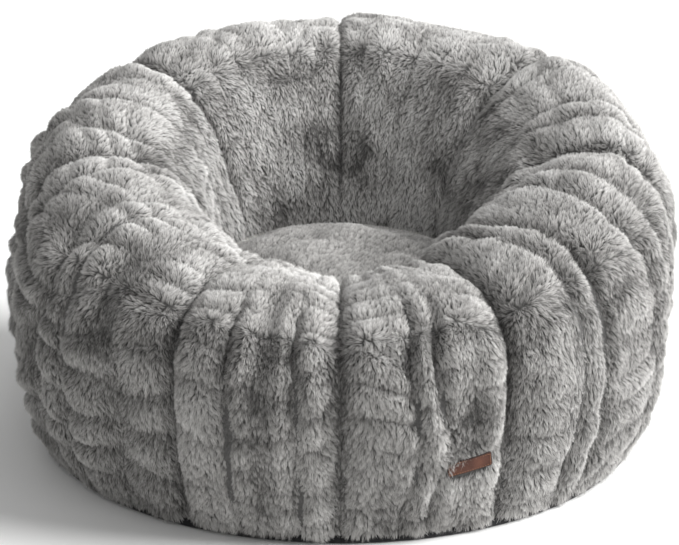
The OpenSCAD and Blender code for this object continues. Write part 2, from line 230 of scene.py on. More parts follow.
def new_material(name):
    material = bpy.data.materials.new(name)
    material.use_nodes = True
    tree = material.node_tree
    shader = tree.nodes["Principled BSDF"]
    return material, tree, shader


def placed_material(name):
    """A new material, its tree and shader, and a link to the place on the object."""
    material, tree, shader = new_material(name)
    return material, tree, shader, add(tree, "ShaderNodeTexCoord").outputs["Object"]


def rabbit_fur_pile():
    """Acrylic faux rabbit fur, knitted and sheared: pale tips over dark roots (dye and painted shade), with a
    faint sheen.
    """
    material, tree, shader = new_material("rabbit_fur_pile")
    uv = add(tree, "ShaderNodeUVMap", uv_map="OFBake").outputs["UV"]
    split = add(tree, "ShaderNodeSeparateXYZ", {"Vector": uv})
    # dark roots: partly the fibre's dye, partly painted shade down among the strands
    along = ramp(tree, split.outputs["Y"],
                 [(0.0, "4c4b4a"), (0.3, "a8a7a5"), (0.65, "dcdbd9"), (1.0, "f6f5f3")])
    # tone per strand, which carries painted light and shade besides random tone
    tone = ramp(tree, split.outputs["X"], [(0.0, "6c6b6a"), (0.5, "d6d5d4"), (1.0, "ffffff")])
    result = mixed_colour(tree, 1.0, along, tone, "MULTIPLY")
    feed(tree, shader, {"Base Color": result, "Roughness": 0.85, "Specular IOR Level": 0.15,
                        "Sheen Weight": 0.2, "Sheen Roughness": 0.5})
    through = add(tree, "ShaderNodeBsdfTranslucent", {"Color": result}).outputs["BSDF"]
    fibre = add(tree, "ShaderNodeMixShader",
                {0: 0.35, 1: shader.outputs["BSDF"], 2: through}).outputs["Shader"]
    tree.links.new(fibre, tree.nodes["Material Output"].inputs["Surface"])
    return material


def fur_backing():
    """The knitted backing, dark grey as painted shade between the strands."""
    material, tree, shader, place = placed_material("fur_backing_knit")
    # dark grey: painted shade where the backing shows between the strands
    colour = ramp(tree, even_noise(tree, place, 400.0, 3.0), [(0.3, "3b3a39"), (0.7, "5a5958")])
    feed(tree, shader, {"Base Color": colour, "Roughness": 0.95})
    return material


def bumped(tree, shader, height, distance):
    """Gives the shader a bump of a real depth in metres from a 0 to 1 height."""
    bump = add(tree, "ShaderNodeBump", {"Height": height, "Distance": distance, "Strength": 1.0})
    tree.links.new(bump.outputs["Normal"], shader.inputs["Normal"])


def woven(name, dark, light, thread, roughness, twill=False):
    """Woven cloth: warp and weft threads one thread apart in metres, each rising and dipping in turn."""
    material, tree, shader, place = placed_material(name)
    waves = []
    for direction in ("X", "Y", "Z"):
        slant = "DIAGONAL" if twill and direction == "Z" else direction
        wave = add(tree, "ShaderNodeTexWave",
                   {"Vector": place, "Scale": WAVE_TURN / thread, "Distortion": 0.4, "Detail": 1.0,
                    "Detail Scale": 3.0}, wave_type="BANDS", bands_direction=slant)
        waves.append(wave.outputs["Fac"])
    weave = math_node(tree, "MULTIPLY", math_node(tree, "MAXIMUM", waves[0], waves[1]), waves[2])
    slub = even_noise(tree, place, 60.0, 4.0)
    half = math_node(tree, "MULTIPLY", math_node(tree, "ADD", weave, slub), 0.5)
    feed(tree, shader, {"Base Color": ramp(tree, half, [(0.2, dark), (0.7, light)]),
                        "Roughness": roughness, "Specular IOR Level": 0.3})
    bumped(tree, shader, weave, thread * 0.3)
    return material


def leather():
    """Vegetable-tanned cowhide, dyed and rolled: a fine pebbled grain, burnished edges, a low wax shine."""
    material, tree, shader, place = placed_material("veg_tanned_leather")
    grain = add(tree, "ShaderNodeTexVoronoi", {"Vector": place, "Scale": 1 / 0.0011},
                feature="DISTANCE_TO_EDGE").outputs["Distance"]
    creases = add(tree, "ShaderNodeTexNoise", {"Vector": place, "Scale": 140.0, "Detail": 6.0,
                                               "Distortion": 0.8}).outputs["Fac"]
    dye = even_noise(tree, place, 45.0, 3.0)
    worn = add(tree, "ShaderNodeAttribute", attribute_name="edge").outputs["Fac"]
    face = ramp(tree, dye, [(0.25, "3a1f15"), (0.55, "4a2a1e"), (0.8, "5c3728")])
    colour = mixed_colour(tree, worn, face, linear("1c0d08"))
    feed(tree, shader, {"Base Color": colour, "Roughness": between(tree, creases, 0.5, 0.7),
                        "Specular IOR Level": 0.3})
    pebbles = math_node(tree, "MULTIPLY", grain, 4.0, clamp=True)
    height = math_node(tree, "ADD", pebbles, creases)
    bumped(tree, shader, height, 0.00012)
    return material


def twisted_thread():
    """Waxed polyester thread of three twisted plies: slanting light and dark bands and a soft shine."""
    material, tree, shader, place = placed_material("waxed_polyester_thread")
    plies = add(tree, "ShaderNodeTexWave", {"Vector": place, "Scale": WAVE_TURN / 0.0006},
                bands_direction="DIAGONAL").outputs["Fac"]
    feed(tree, shader, {"Base Color": ramp(tree, plies, [(0.0, "4a2a1b"), (1.0, "9a6a48")]),
                        "Roughness": 0.5})
    bumped(tree, shader, plies, 0.00008)
    return material


def satin():
    """Polyester satin: long floats that shine along one way, white."""
    material, tree, shader, place = placed_material("polyester_satin")
    floats = stretched_noise(tree, place, (3000.0, 3000.0, 200.0), 2.0)
    feed(tree, shader, {"Base Color": ramp(tree, floats, [(0.3, "e2e2e0"), (0.7, "f7f7f5")]),
                        "Roughness": 0.32, "Anisotropic": 0.5})
    bumped(tree, shader, floats, 0.00003)
    return material


def nylon_coil():
    """Nylon monofilament, dyed grey: smooth and fairly glossy, with dust in places."""
    material, tree, shader, place = placed_material("nylon_monofilament")
    dust = even_noise(tree, place, 500.0, 3.0)
    feed(tree, shader, {"Base Color": ramp(tree, dust, [(0.35, "4b4b4d"), (0.75, "6d6d70")]),
                        "Roughness": between(tree, dust, 0.3, 0.5), "IOR": 1.53})
    return material


def nickel_plate():
    """Die-cast zinc with bright nickel plating, tumbled: faint ripples and fine handling scratches."""
    material, tree, shader, place = placed_material("nickel_plated_zinc")
    ripple = even_noise(tree, place, 350.0, 2.0)
    scratch = stretched_noise(tree, place, (400.0, 400.0, 9000.0), 2.0)
    feed(tree, shader, {"Base Color": ramp(tree, ripple, [(0.3, "b9b6b0"), (0.7, "d2cfc9")]),
                        "Roughness": between(tree, scratch, 0.22, 0.42), "Metallic": 1.0})
    bumped(tree, shader, ripple, 0.00005)
    return material


def shredded_foam():
    """Shredded polyurethane foam: crumbs of about 12 mm in cream and pale yellow, open-celled and matt."""
    material, tree, shader, place = placed_material("shredded_polyurethane_foam")
    crumbs = add(tree, "ShaderNodeTexVoronoi", {"Vector": place, "Scale": 1 / 0.012})
    crumb = add(tree, "ShaderNodeSeparateXYZ", {"Vector": crumbs.outputs["Color"]}).outputs["X"]
    pores = add(tree, "ShaderNodeTexVoronoi", {"Vector": place, "Scale": 1 / 0.0012}).outputs["Distance"]
    colour = ramp(tree, crumb, [(0.0, "d9cfae"), (0.5, "ece3c6"), (1.0, "f5f0df")])
    feed(tree, shader, {"Base Color": colour, "Roughness": 0.95})
    bumped(tree, shader, math_node(tree, "SUBTRACT", crumbs.outputs["Distance"], pores), 0.003)
    return material


def dress_nodes(looks):
    """Puts a material on each CAD node that stays in view or inside, by the record's material slot."""
    for part in frame["record"]["subparts"]:
        node = frame["nodes"][part["node"]]
        look = looks.get(part["material_slot"])
        if look:
            for slot in node.material_slots:
                slot.material = look
            if not node.material_slots:
                node.data.materials.append(look)


# ---- shape of the skin ----------------------------------------------------------------------------

def ring_section(az, depth):
    """Place u, radius and height of points along the ring's section at one azimuth, at a depth in it.

    u runs from 0 at the foot to 1 at the girth, 2 at the crest and 3 at the seat.
    """
    climb = ((1 - math.cos(math.radians(az))) / 2) ** RIM_CLIMB
    height = FRONT_H + (BACK_H - FRONT_H) * climb
    crest = FRONT_CREST_R + (BACK_CREST_R - FRONT_CREST_R) * climb
    u = np.linspace(0, 3, 3 * SECTION_STEPS + 1)
    a, b, c = (np.radians(90 * np.clip(u - start, 0, 1)) for start in (0, 1, 2))
    lower = (BASE_R + (RING_R - BASE_R - depth) * np.sin(a), GIRTH_Z - (GIRTH_Z - depth) * np.cos(a))
    upper = (crest + (RING_R - crest - depth) * np.cos(b), GIRTH_Z + (height - GIRTH_Z - depth) * np.sin(b))
    inner = (crest - (crest - SEAT_R - depth) * np.sin(c), SEAT_Z + (height - SEAT_Z - depth) * np.cos(c))
    r = np.where(u <= 1, lower[0], np.where(u <= 2, upper[0], inner[0]))
    z = np.where(u <= 1, lower[1], np.where(u <= 2, upper[1], inner[1]))
    return u, r, z


def panel_at(az):
    """Panel name and the place across it, 0 to 1, at an azimuth from -180 to 180."""
    side = abs(az)
    for name, (start, end) in SEAMS.items():
        if side <= end:
            return name, (side - start) / (end - start)
    return "back", 1.0


class Skin:
    """The cover's skin as a grid: columns go round the ring and rows run from the foot to the seat."""

    def __init__(self):
        self.az = np.arange(-180, 180, COLUMN)
        cols = len(self.az)
        self.points = np.zeros((cols, ROWS, 3))
        self.u = np.zeros((cols, ROWS))
        self.s = np.zeros((cols, ROWS))
        for i, az in enumerate(self.az):
            u, r, z = ring_section(az, PILE_STANDS)
            foot = BACK_FOOT_Z if abs(az) >= SEAMS["back"][0] else FOOT_Z
            keep = (z >= foot) | (u > 1)
            u, r, z = u[keep], r[keep], z[keep]
            length = np.concatenate([[0], np.cumsum(np.hypot(np.diff(r), np.diff(z)))])
            s = np.linspace(0, length[-1], ROWS)
            self.u[i] = np.interp(s, length, u)
            self.s[i] = s
            rr, zz = np.interp(s, length, r), np.interp(s, length, z)
            a = math.radians(az)
            self.points[i] = np.stack([rr * math.sin(a), -rr * math.cos(a), zz], -1)

    def normals(self):
        along = np.gradient(self.points, axis=1)
        round_ = (np.roll(self.points, -1, axis=0) - np.roll(self.points, 1, axis=0)) / 2
        return unit(np.cross(round_, along))

    def displace(self, amount):
        self.points = self.points + self.normals() * amount[..., None]


def bumps(skin):
    """Height of the skin's ribs, bubbles, seams and slumps over its plain shape, and its pile's tone and
    painted light.
    """
    cols = len(skin.az)
    height = np.zeros((cols, ROWS))
    shade = np.zeros((cols, ROWS))
    flat = skin.points.reshape(-1, 3)

    def waves(size, seed):
        return soft_noise(flat, size, seed).reshape(cols, ROWS)

    jitter, slump, lumps = waves(0.11, 3.1), waves(0.16, 9.7), waves(0.05, 5.3)
    patches = waves(0.075, 7.9) + 0.6 * waves(0.034, 4.4)
    uneven, lips = waves(0.09, 6.6), waves(0.065, 1.7)
    chances = {}
    inside = smooth(skin.u, 2.0, 2.5)
    top = smooth(skin.u, 1.45, 1.9) * (1 - smooth(skin.u, 2.1, 2.5))
    bulge = smooth(skin.u, 1.0, 1.35) * (1 - smooth(skin.u, 1.9, 2.2))
    skin.crease = np.zeros((cols, ROWS))
    for i, az in enumerate(skin.az):
        name, t = panel_at(az)
        start, end = SEAMS[name]
        ribs = RIBS[name]

        # ribs side by side, of uneven width, each with its own depth and its own start of bubbles
        uneven_width = 0.35 * math.sin(4.4 * math.pi * t + 1.3 * ribs + (2.0 if az > 0 else 0.0))
        across = np.clip(t * ribs + (0.5 * jitter[i] + uneven_width) * math.sin(math.pi * t), 0, ribs)
        k = np.minimum(np.floor(across), ribs - 1)
        f = across - k
        draw = [chances.setdefault((name, az > 0, int(j)), rng.uniform(-1, 1, 2)) for j in k]
        phase, stout = np.array(draw).T
        rib = np.clip(1 - np.abs(2 * f - 1) ** 2.2, 0, 1) ** CREST_POWER[name]
        turns = skin.s[i] / BUBBLE + 1.0 * phase + 0.9 * jitter[i]
        bubble = np.abs(np.sin(math.pi * turns)) ** 0.75

        # the groove of a seam, the roll beside it and its puckers
        from_seam = min(t, 1 - t) * (end - start)
        seam = math.exp(-(from_seam / 0.8) ** 2)
        pillow = math.exp(-(from_seam / 5.0) ** 2)
        lip = math.exp(-((from_seam - 3.5) / 2.0) ** 2)

        fade = smooth(skin.u[i], 1.5, 2.1) if name == "back" else inside[i]
        rib_deep = RIB_DEEP * (STOUT[name] + 0.3 * stout + 0.9 * uneven[i])
        rib_deep = rib_deep * (1 - RIB_FADES[name] * fade)
        rib_deep = rib_deep * (1 - TOP_FADES[name] * top[i])
        bubbly = BUBBLY_FRONT if name == "front" else BUBBLY_RIGHT if az > 0 else BUBBLY_LEFT
        bubble_deep = BUBBLE_DEEP * (1 - 0.5 * inside[i]) * (1 - 0.3 * top[i]) * (bubbly + 0.9 * uneven[i])
        right_side = smooth(az, 50, 85) * (1 - smooth(az, 115, 150))
        height[i] = (rib_deep * (rib - 0.72) + bubble_deep * rib * (bubble - 0.65)
                     + SLUMP * slump[i] + (LUMPS + LUMPS_INSIDE * inside[i]) * lumps[i] + LIPS * lip * lips[i]
                     - SEAM_DEEP[name] * seam - PILLOW[name] * pillow
                     + BULGE * right_side * bulge[i])
        # painted shade in the creases and seams, painted light on the rim's top and inside the ring, and
        # random mottle
        shade[i] = (0.50 + 0.12 * inside[i] + 0.24 * (rib - 0.75) + 0.18 * rib * (bubble - 0.65)
                    - 0.3 * seam + 0.2 * top[i] + (0.26 + 0.3 * inside[i]) * patches[i])
        faded = RIB_FADES[name] * fade
        skin.crease[i] = np.clip(1 - rib * (1 - faded) - faded, 0, 1) + seam
    at_seat = smooth(skin.u, 2.8, 2.97)
    height = height * (1 - at_seat) + PILE_STANDS * at_seat
    height = height * (0.25 + 0.75 * smooth(skin.s, 0.0, 0.06))
    flatten = label_bed(skin.points)
    height = height * (1 - flatten) + (PILE_STANDS - LABEL_SUNK) * flatten
    room = SKIN_ROOM * (0.72 + 0.28 * smooth(skin.s, 0.08, 0.18))
    return np.maximum(height, PILE_STANDS + THIN - room), shade


def puff(skin, frames=14, most=0.008):
    """A short cloth simulation under pressure, pinned along the seams and edges, that plumps the bubbles."""
    cols = len(skin.az)
    index = np.arange(cols * ROWS).reshape(cols, ROWS)
    nxt = np.roll(index, -1, axis=0)
    faces = np.stack([index[:, :-1], nxt[:, :-1], nxt[:, 1:], index[:, 1:]], -1).reshape(-1, 4)
    before = skin.points.reshape(-1, 3).copy()
    obj = add_piece("skin_for_cloth", make_mesh("skin_for_cloth", before, faces))
    pins = obj.vertex_groups.new(name="sewn")
    seams = sorted({az for ends in SEAMS.values() for az in ends})
    seam_cols = sorted({int(np.argmin(np.abs(skin.az - side * az))) for az in seams for side in (-1, 1)})
    sewn = np.concatenate([index[seam_cols].ravel(), index[:, :2].ravel(), index[:, -2:].ravel()])
    pins.add([int(i) for i in np.unique(sewn)], 1.0, "REPLACE")
    cloth = obj.modifiers.new("cloth", "CLOTH")
    settings = cloth.settings
    settings.vertex_group_mass = "sewn"
    settings.quality = 4
    settings.mass = 0.3
    settings.tension_stiffness = 12
    settings.compression_stiffness = 12
    settings.shear_stiffness = 6
    settings.bending_stiffness = 0.4
    settings.use_pressure = True
    settings.uniform_pressure_force = 4.0
    settings.effector_weights.gravity = 0.0
    cloth.point_cache.frame_start = 1
    cloth.point_cache.frame_end = frames
    for number in range(1, frames + 1):
        bpy.context.scene.frame_set(number)
    evaluated = obj.evaluated_get(bpy.context.evaluated_depsgraph_get())
    after = np.empty(len(before) * 3)
    evaluated.data.vertices.foreach_get("co", after)
    move = after.reshape(-1, 3) - before
    size = np.linalg.norm(move, axis=1, keepdims=True)
    move *= np.minimum(1, most / np.maximum(size, 1e-9))
    print("cloth moved points by up to", round(float(size.max()) * 1000, 1), "mm, mean",
          round(float(size.mean()) * 1000, 2))
    skin.points = (before + move).reshape(cols, ROWS, 3)
    bpy.data.objects.remove(obj)
    bpy.context.scene.frame_set(1)


def grid_faces(grid):
    """The four-sided faces between neighbours in a grid of vertex numbers."""
    return np.stack([grid[:-1, :-1], grid[1:, :-1], grid[1:, 1:], grid[:-1, 1:]], -1).reshape(-1, 4)


def closed_sheet(name, outer, inner):
    """A closed padded panel between two grids of points."""
    rows, n = outer.shape[:2]
    front = np.arange(rows * n).reshape(rows, n)
    back = front + rows * n
    edge = np.concatenate([front[0, :], front[1:, -1], front[-1, -2::-1], front[-2:0:-1, 0]])
    rim = np.stack([edge, np.roll(edge, -1)], -1)
    sides = np.stack([rim[:, 1], rim[:, 0], rim[:, 0] + rows * n, rim[:, 1] + rows * n], -1)
    faces = np.concatenate([grid_faces(front), grid_faces(back)[:, ::-1], sides[:, ::-1]])
    return make_mesh(name, np.concatenate([outer.reshape(-1, 3), inner.reshape(-1, 3)]), faces)


# ---- pile -----------------------------------------------------------------------------------------

def strand_blade():
    """One strand as a needle of one face that leans forwards from its root, its upper side outwards."""
    half, lean = 0.062, math.radians(26)
    points = [(0, -half, 0), (0, half, 0), (math.cos(lean), 0, math.sin(lean))]
    mesh = make_mesh("strand_blade", points, [(0, 2, 1)])
    mesh.attributes.new("along", "FLOAT", "POINT").data.foreach_set("value", [0.0, 0.0, 1.0])
    mesh.attributes.new("side", "FLOAT", "POINT").data.foreach_set("value", [-1.0, 1.0, 0.0])
    obj = add_piece("strand_blade", mesh)
    obj.hide_render = obj.hide_viewport = True
    return obj


def new_group(name, inputs):
    """An empty Geometry Nodes group with inputs of (name, socket type, value or None).

    Returns the group, its inputs' identifiers by name, the links of its inputs and its output node.
    """
    tree = bpy.data.node_groups.new(name, "GeometryNodeTree")
    tree.interface.new_socket("Geometry", in_out="OUTPUT", socket_type="NodeSocketGeometry")
    sockets = {}
    for key, kind, value in inputs:
        socket = tree.interface.new_socket(key, in_out="INPUT", socket_type=kind)
        if value is not None:
            socket.default_value = value
        sockets[key] = socket.identifier
    return tree, sockets, add(tree, "NodeGroupInput").outputs, add(tree, "NodeGroupOutput")


def finish_group(tree, instances, material, done):
    """Turns a group's instances into one mesh of one material."""
    real = add(tree, "GeometryNodeRealizeInstances", {"Geometry": instances}).outputs["Geometry"]
    finished = add(tree, "GeometryNodeSetMaterial", {"Geometry": real, "Material": material})
    tree.links.new(finished.outputs["Geometry"], done.inputs["Geometry"])


def grown_mesh(grower):
    """The mesh that an object's modifiers grow, without the object."""
    mesh = bpy.data.meshes.new_from_object(grower.evaluated_get(bpy.context.evaluated_depsgraph_get()))
    bpy.data.objects.remove(grower)
    return mesh


def pile_tree(material):
    """Geometry Nodes that grow strands on a skin along its comb attribute, in tufts that lean together."""
    tree, sockets, given, done = new_group("fur_pile", (
        ("Geometry", "NodeSocketGeometry", None), ("Strand", "NodeSocketObject", None),
        ("Strands per square metre", "NodeSocketFloat", 800000.0),
        ("Strand length", "NodeSocketFloat", PILE), ("Tuft size", "NodeSocketFloat", TUFT),
        ("Tousle", "NodeSocketFloat", 0.6), ("Gather", "NodeSocketFloat", 0.3),
        ("Seed", "NodeSocketInt", 1)))

    def maths(operation, a, b=0.0, clamp=False):
        return math_node(tree, operation, a, b, clamp)

    def vectors(operation, a, b):
        return add(tree, "ShaderNodeVectorMath", {0: a, 1: b}, operation=operation).outputs["Vector"]

    def scaled(vector, factor):
        return add(tree, "ShaderNodeVectorMath", {0: vector, "Scale": factor},
                   operation="SCALE").outputs["Vector"]

    def stored(key, kind="FLOAT"):
        return add(tree, "GeometryNodeInputNamedAttribute", {"Name": key},
                   data_type=kind).outputs["Attribute"]

    def chance(low, high, seed_shift):
        seed = maths("ADD", given["Seed"], seed_shift)
        return add(tree, "FunctionNodeRandomValue", {"Min": low, "Max": high, "Seed": seed},
                   data_type="FLOAT").outputs["Value"]

    # roots, thinned out by the cover attribute where something else lies on the fur
    density = maths("MULTIPLY", stored("cover"), given["Strands per square metre"])
    scatter = add(tree, "GeometryNodeDistributePointsOnFaces",
                  {"Mesh": given["Geometry"], "Density": density, "Seed": given["Seed"]})
    normal = scatter.outputs["Normal"]
    points = add(tree, "GeometryNodeStoreNamedAttribute",
                 {"Geometry": scatter.outputs["Points"], "Name": "skin_normal", "Value": normal},
                 data_type="FLOAT_VECTOR", domain="POINT").outputs["Geometry"]

    # tufts are the cells of a Voronoi pattern: each has its own lean, and gathers towards its middle
    place = add(tree, "GeometryNodeInputPosition").outputs["Position"]
    per_metre = maths("DIVIDE", 1.0, given["Tuft size"])
    cells = add(tree, "ShaderNodeTexVoronoi", {"Vector": place, "Scale": per_metre, "Randomness": 1.0},
                voronoi_dimensions="3D", feature="F1")
    middle = cells.outputs["Position"]
    apart = cells.outputs["Distance"]
    own = add(tree, "ShaderNodeSeparateXYZ", {"Vector": cells.outputs["Color"]}).outputs
    to_middle = scaled(vectors("SUBTRACT", middle, place), maths("MULTIPLY", per_metre, given["Gather"]))
    swirls = add(tree, "ShaderNodeTexNoise", {"Vector": place, "Scale": maths("MULTIPLY", per_metre, 0.22),
                                              "Detail": 1.0}).outputs["Color"]
    swirl = scaled(vectors("SUBTRACT", swirls, (0.5, 0.5, 0.5)), maths("MULTIPLY", given["Tousle"], 2.4))
    cell_way = scaled(vectors("SUBTRACT", cells.outputs["Color"], (0.5, 0.5, 0.5)),
                      maths("MULTIPLY", given["Tousle"], 0.9))
    way = vectors("ADD", vectors("ADD", stored("comb", "FLOAT_VECTOR"), to_middle),
                  vectors("ADD", swirl, cell_way))
    rotation = add(tree, "FunctionNodeAxesToRotation", {"Primary Axis": normal, "Secondary Axis": way},
                   primary_axis="Z", secondary_axis="X").outputs["Rotation"]
    lift = maths("ADD", maths("MULTIPLY", maths("SUBTRACT", own["Y"], 0.5), -0.3), chance(-0.25, 0.2, 3))
    turn = add(tree, "FunctionNodeAxisAngleToRotation",
               {"Axis": (0.0, 0.0, 1.0), "Angle": chance(-0.25, 0.25, 5)}).outputs["Rotation"]
    tilt = add(tree, "FunctionNodeAxisAngleToRotation",
               {"Axis": (0.0, 1.0, 0.0), "Angle": lift}).outputs["Rotation"]
    for extra in (turn, tilt):
        rotation = add(tree, "FunctionNodeRotateRotation", {"Rotation": rotation, "Rotate By": extra},
                       rotation_space="LOCAL").outputs["Rotation"]

    # strands are longest in the middle of a tuft
    shape = maths("SUBTRACT", 1.12, maths("MULTIPLY", apart, 0.45))
    size = maths("MULTIPLY", maths("MULTIPLY", shape, chance(0.8, 1.1, 7)),
                 maths("MULTIPLY", stored("length"), given["Strand length"]))
    blade = add(tree, "GeometryNodeObjectInfo", {"Object": given["Strand"]}).outputs["Geometry"]
    strands = {"Points": points, "Instance": blade, "Rotation": rotation, "Scale": size}
    instances = add(tree, "GeometryNodeInstanceOnPoints", strands).outputs["Instances"]

    # tone: random by tuft, with painted shade between tufts and the skin's painted light and shade
    tone = maths("ADD", maths("MULTIPLY", maths("SUBTRACT", own["X"], 0.5), 0.42), chance(-0.24, 0.24, 9))
    tone = maths("ADD", tone, maths("MULTIPLY", maths("SUBTRACT", 0.45, apart), 0.35))
    tone = maths("ADD", tone, stored("shade"), clamp=True)
    toned = add(tree, "GeometryNodeStoreNamedAttribute",
                {"Geometry": instances, "Name": "tone", "Value": tone},
                data_type="FLOAT", domain="INSTANCE").outputs["Geometry"]
    finish_group(tree, toned, material, done)
    return tree, sockets


def grow_pile(name, skin_mesh, tree, sockets, strand, density, seed):
    """A plain mesh of strands grown on a skin, with a map of tone, painted light and shade, and place along
    the strand.
    """
    grower = add_piece(name + "_grower", skin_mesh)
    modifier = grower.modifiers.new("pile", "NODES")
    modifier.node_group = tree
    modifier[sockets["Strand"]] = strand
    modifier[sockets["Strands per square metre"]] = density
    modifier[sockets["Seed"]] = seed
    mesh = grown_mesh(grower)
    mesh.name = name
    count = len(mesh.vertices)

    def read(key, width, field):
        values = np.empty(count * width)
        mesh.attributes[key].data.foreach_get(field, values)
        return values

    along, side, tone = (read(key, 1, "value") for key in ("along", "side", "tone"))
    skin_normal = read("skin_normal", 3, "vector").reshape(-1, 3)
    own = np.empty(count * 3)
    mesh.vertices.foreach_get("normal", own)
    soft = unit(0.65 * skin_normal + 0.35 * own.reshape(-1, 3))
    place = np.empty(count * 3)
    mesh.vertices.foreach_get("co", place)
    place[2::3] = np.maximum(place[2::3], FLOOR_ROOM)
    mesh.vertices.foreach_set("co", place)
    corner = np.empty(len(mesh.loops), dtype=np.int32)
    mesh.loops.foreach_get("vertex_index", corner)
    uv = np.stack([0.05 + 0.9 * tone + 0.012 * side, 0.03 + 0.94 * along], -1)[corner]
    for key in [a.name for a in mesh.attributes if a.name in
                ("along", "side", "tone", "skin_normal", "comb", "cover", "length", "shade")]:
        mesh.attributes.remove(mesh.attributes[key])
    layer = mesh.uv_layers.new(name="OFBake")
    layer.data.foreach_set("uv", uv.ravel())
    mesh.shade_smooth()
    mesh.normals_split_custom_set_from_vertices(soft)
    return add_piece(name, mesh)


def skin_patch(name, points, comb, cover, length, shade):
    """A patch of skin with the attributes that the pile follows."""
    rows, n = points.shape[:2]
    mesh = make_mesh(name, points.reshape(-1, 3), grid_faces(np.arange(rows * n).reshape(rows, n)))
    mesh.attributes.new("comb", "FLOAT_VECTOR", "POINT").data.foreach_set("vector", comb.ravel())
    for key, values in (("cover", cover), ("length", length), ("shade", shade)):
        mesh.attributes.new(key, "FLOAT", "POINT").data.foreach_set("value", values.ravel())
    return mesh


# ---- cover ----------------------------------------------------------------------------------------


def label_axes():
    """Along, up and outward directions of the label."""
    a = math.radians(LABEL_AZ)
    out = Vector((math.sin(a), -math.cos(a), 0))
    side = Vector((math.cos(a), math.sin(a), 0))
    up = Vector((0, 0, 1)) * math.cos(LABEL_LEAN) + out * math.sin(LABEL_LEAN)
    out = out * math.cos(LABEL_LEAN) - Vector((0, 0, 1)) * math.sin(LABEL_LEAN)
    along = side * math.cos(LABEL_TILT) + up * math.sin(LABEL_TILT)
    rise = up * math.cos(LABEL_TILT) - side * math.sin(LABEL_TILT)
    return along, rise, out


def label_bed(points):
    """1 where the skin is pressed flat under the label, and 0 away from it."""
    along, rise, _ = label_axes()
    away = points - np.array(LABEL_MID)
    x, y = np.abs(away @ np.array(along)), np.abs(away @ np.array(rise))
    inside = 1 - smooth(x, LABEL_W / 2, LABEL_W / 2 + 0.016)
    inside = inside * (1 - smooth(y, LABEL_H / 2, LABEL_H / 2 + 0.014))
    return np.where(np.linalg.norm(away, axis=-1) < LABEL_REACH, inside, 0.0)


def label_cover(points):
    """1 away from the label and 0 where it lies on the fur, whose pile laps over its top edge."""
    along, rise, _ = label_axes()
    away = points - np.array(LABEL_MID)
    x, y = away @ np.array(along), away @ np.array(rise)
    inside = 1 - smooth(np.abs(x), LABEL_W / 2 - 0.001, LABEL_W / 2 + 0.004)
    inside = inside * (1 - smooth(y, LABEL_H / 2 - 0.007, LABEL_H / 2 - 0.001))
    inside = inside * smooth(y, -LABEL_H / 2 - 0.009, -LABEL_H / 2 - 0.004)
    return np.where(np.linalg.norm(away, axis=-1) < LABEL_REACH, 1 - inside, 1.0)


def comb_of(skin):
    """Way in which the pile is brushed: down the outside, backwards over the rim, down to the seat inside."""
    along = unit(np.gradient(skin.points, axis=1))
    round_ = unit(np.roll(skin.points, -1, axis=0) - np.roll(skin.points, 1, axis=0))
    outside = (1 - smooth(skin.u, 1.3, 1.65))[..., None]
    inside = smooth(skin.u, 2.2, 2.5)[..., None]
    side = np.zeros(skin.u.shape)
    for i, az in enumerate(skin.az):
        name, t = panel_at(az)
        across = t * RIBS[name]
        side[i] = math.copysign(1, az) * (across - math.floor(across) - 0.5)
    backwards = np.array([0.0, 1.0, 0.0]) * (1 - outside) * (1 - inside)
    return unit(along * (inside - outside) + backwards + round_ * 0.8 * side[..., None])


def columns_between(skin, start, end):
    """Indices of the skin's columns from one azimuth to another, both seams included."""
    low, high = (round((a + 180) / COLUMN) for a in (start, end))
    return np.arange(low, high + 1) % len(skin.az)


def every_second(grid):
    """Every second column and row of a grid, and its last ones."""
    keep = [np.unique(np.r_[0:count:2, count - 1]) for count in grid.shape[:2]]
    return grid[np.ix_(*keep)]


def cover_panels(skin, tree, sockets, strand, fur, backing):
    """The eight padded fur panels and their pile."""
    normals = skin.normals()
    comb = comb_of(skin)
    cover = label_cover(skin.points)
    seed = 10
    for name, (start, end) in SEAMS.items():
        for side, (a0, a1) in (("left", (-end, -start)), ("right", (start, end))):
            cols = columns_between(skin, a0, a1)
            outer = skin.points[cols]
            thick = np.clip(SKIN_ROOM - PILE_STANDS + skin.relief[cols], THIN, BACKING)
            thick[[0, -1]] = THIN
            face = outer - normals[cols] * BACKING_SUNK
            inner = outer - normals[cols] * (thick[..., None] + BACKING_SUNK / 2)
            panel = add_piece(f"panel_{name}_{side}",
                              closed_sheet(f"panel_{name}_{side}", every_second(face), every_second(inner)))
            panel.data.materials.append(backing)
            finish_soft(panel, f"fur_{name}_{side}")
            length = 1.08 - 0.3 * np.clip(skin.crease[cols], 0, 1)
            at_foot = 1 - smooth(skin.s[cols], 0.0, 0.02)
            length = length + at_foot * (-0.45 if name == "back" else 0.8)
            patch = skin_patch(f"patch_{name}_{side}", outer, comb[cols], cover[cols], length,
                               skin.shade[cols])
            area = sum(p.area for p in patch.polygons)
            seed += 1
            pile = grow_pile(f"pile_{name}_{side}", patch, tree, sockets, strand, STRANDS[name] / area, seed)
            print(pile.name, "area", round(area, 3), "m2, strands", len(pile.data.polygons))
            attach(pile, "root")


def finish_soft(obj, node):
    """Makes a panel the looks of its node: it rides on the root body and the node is hidden."""
    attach(obj, "root")
    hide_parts(node)


